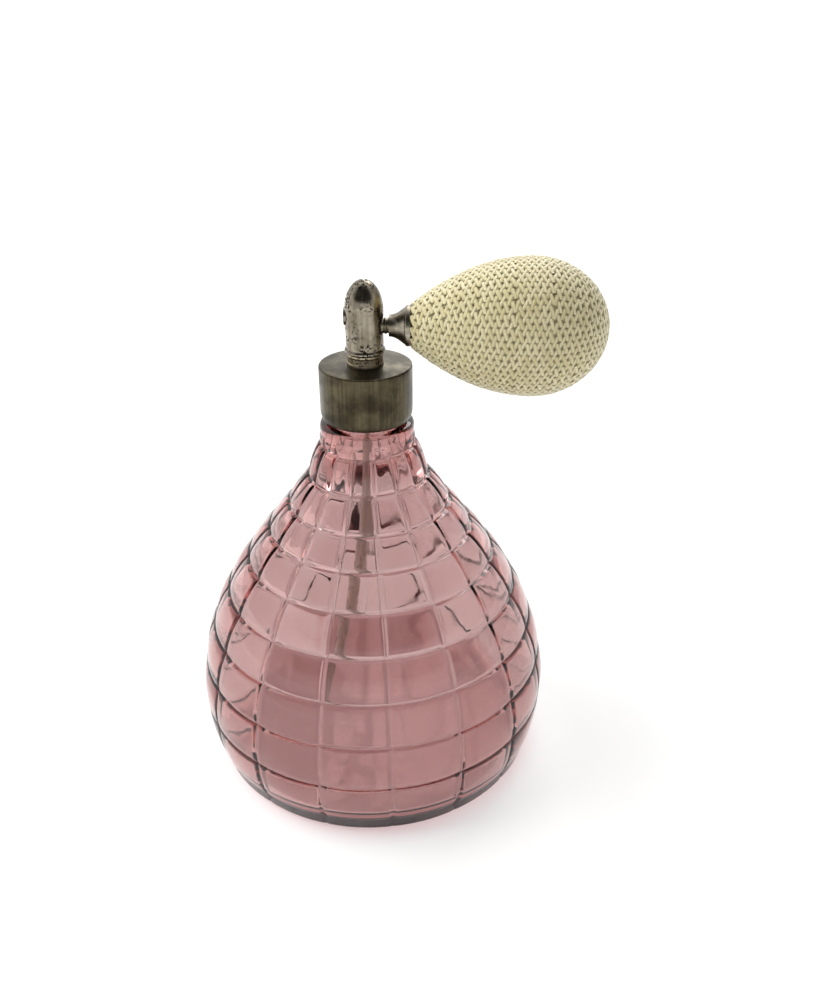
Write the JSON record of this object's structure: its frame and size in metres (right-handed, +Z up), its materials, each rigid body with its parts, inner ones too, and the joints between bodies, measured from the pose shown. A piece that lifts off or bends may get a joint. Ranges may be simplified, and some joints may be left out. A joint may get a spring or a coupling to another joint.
{
  "type": "perfume atomiser",
  "caption": "Refillable bulb perfume atomiser: teardrop glass bottle with a grid of pressed grooves, metal screw collar, bullet-shaped swivelling spray head and a net-covered rubber squeeze bulb.",
  "frame": {"origin": "centre of the bottle's flat underside", "axes": "+Z up along the bottle's axis, +X from the spray head towards the squeeze bulb, -X the way it sprays"},
  "size_m": [0.1194, 0.1072, 0.1553],
  "materials": {
    "pink_glass": "polished pressed glass, rose tint",
    "dark_nickel": "dark satin nickel, tarnished",
    "worn_plate": "bright plate with black pitting",
    "plated_brass": "dull nickel plate",
    "brass": "turned",
    "steel": "polished",
    "white_plastic": "moulded",
    "clear_tube": "translucent extruded tube",
    "black_rubber": "moulded",
    "cream_rubber": "dipped latex",
    "cream_thread": "crocheted satin thread"
  },
  "bodies": {
    "bottle": {"glass_bottle": "pink_glass"},
    "closure": {"lip_gasket": "black_rubber"},
    "collar": {"collar_shell": "dark_nickel", "thread_liner": "white_plastic", "boss_ring": "worn_plate", "stem_o_ring": "black_rubber"},
    "head": {"swivel_washer": "white_plastic", "head_dome": "worn_plate", "nozzle_core": "brass", "stem": "brass", "nut_washer": "brass", "stem_nut": "brass", "dip_tube_sleeve": "white_plastic", "dip_tube": "clear_tube", "jet_nozzle": "plated_brass", "spray_needle": "steel", "air_nipple": "plated_brass", "bulb_ferrule": "plated_brass", "bulb_spigot": "brass", "outlet_valve_seat": "brass", "rubber_bulb": "cream_rubber", "net_cover": "cream_thread", "net_tie": "cream_thread"},
    "bulb_tail": {"inlet_valve_body": "brass", "inlet_valve_cage": "brass"},
    "inlet_ball": {"inlet_valve_ball": "steel"},
    "outlet_ball": {"outlet_valve_ball": "steel"}
  },
  "joints": [
    {"name": "closure_lift", "type": "slide", "parent": "bottle", "child": "closure", "axis": [0, 0, 1], "range_m": [0, 0.12], "deforming": ["dip_tube"]},
    {"name": "collar_unscrew", "type": "hinge", "parent": "closure", "child": "collar", "pos_m": [0, 0, 0.118], "axis": [0, 0, 1], "range_deg": [0, 7200]},
    {"name": "head_swivel", "type": "hinge", "parent": "closure", "child": "head", "pos_m": [0, 0, 0.128], "axis": [0, 0, 1], "continuous": true},
    {"name": "bulb_squeeze", "type": "slide", "parent": "head", "child": "bulb_tail", "axis": [1, 0, 0], "range_m": [0, 0.0015], "stiffness_N_per_m": 200, "deforming": ["rubber_bulb", "net_cover"]},
    {"name": "inlet_ball_slide", "type": "slide", "parent": "bulb_tail", "child": "inlet_ball", "axis": [1, 0, 0], "range_m": [0, 0.0013]},
    {"name": "outlet_ball_slide", "type": "slide", "parent": "head", "child": "outlet_ball", "axis": [-1, 0, 0], "range_m": [0, 0.0012]}
  ],
  "couplings": [
    {"joint": "collar_unscrew", "follows": "closure_lift", "rad_per_m": 1047.2},
    {"joint": "inlet_ball_slide", "follows": "bulb_squeeze", "ratio": 0.8666},
    {"joint": "outlet_ball_slide", "follows": "bulb_squeeze", "ratio": 0.8}
  ]
}
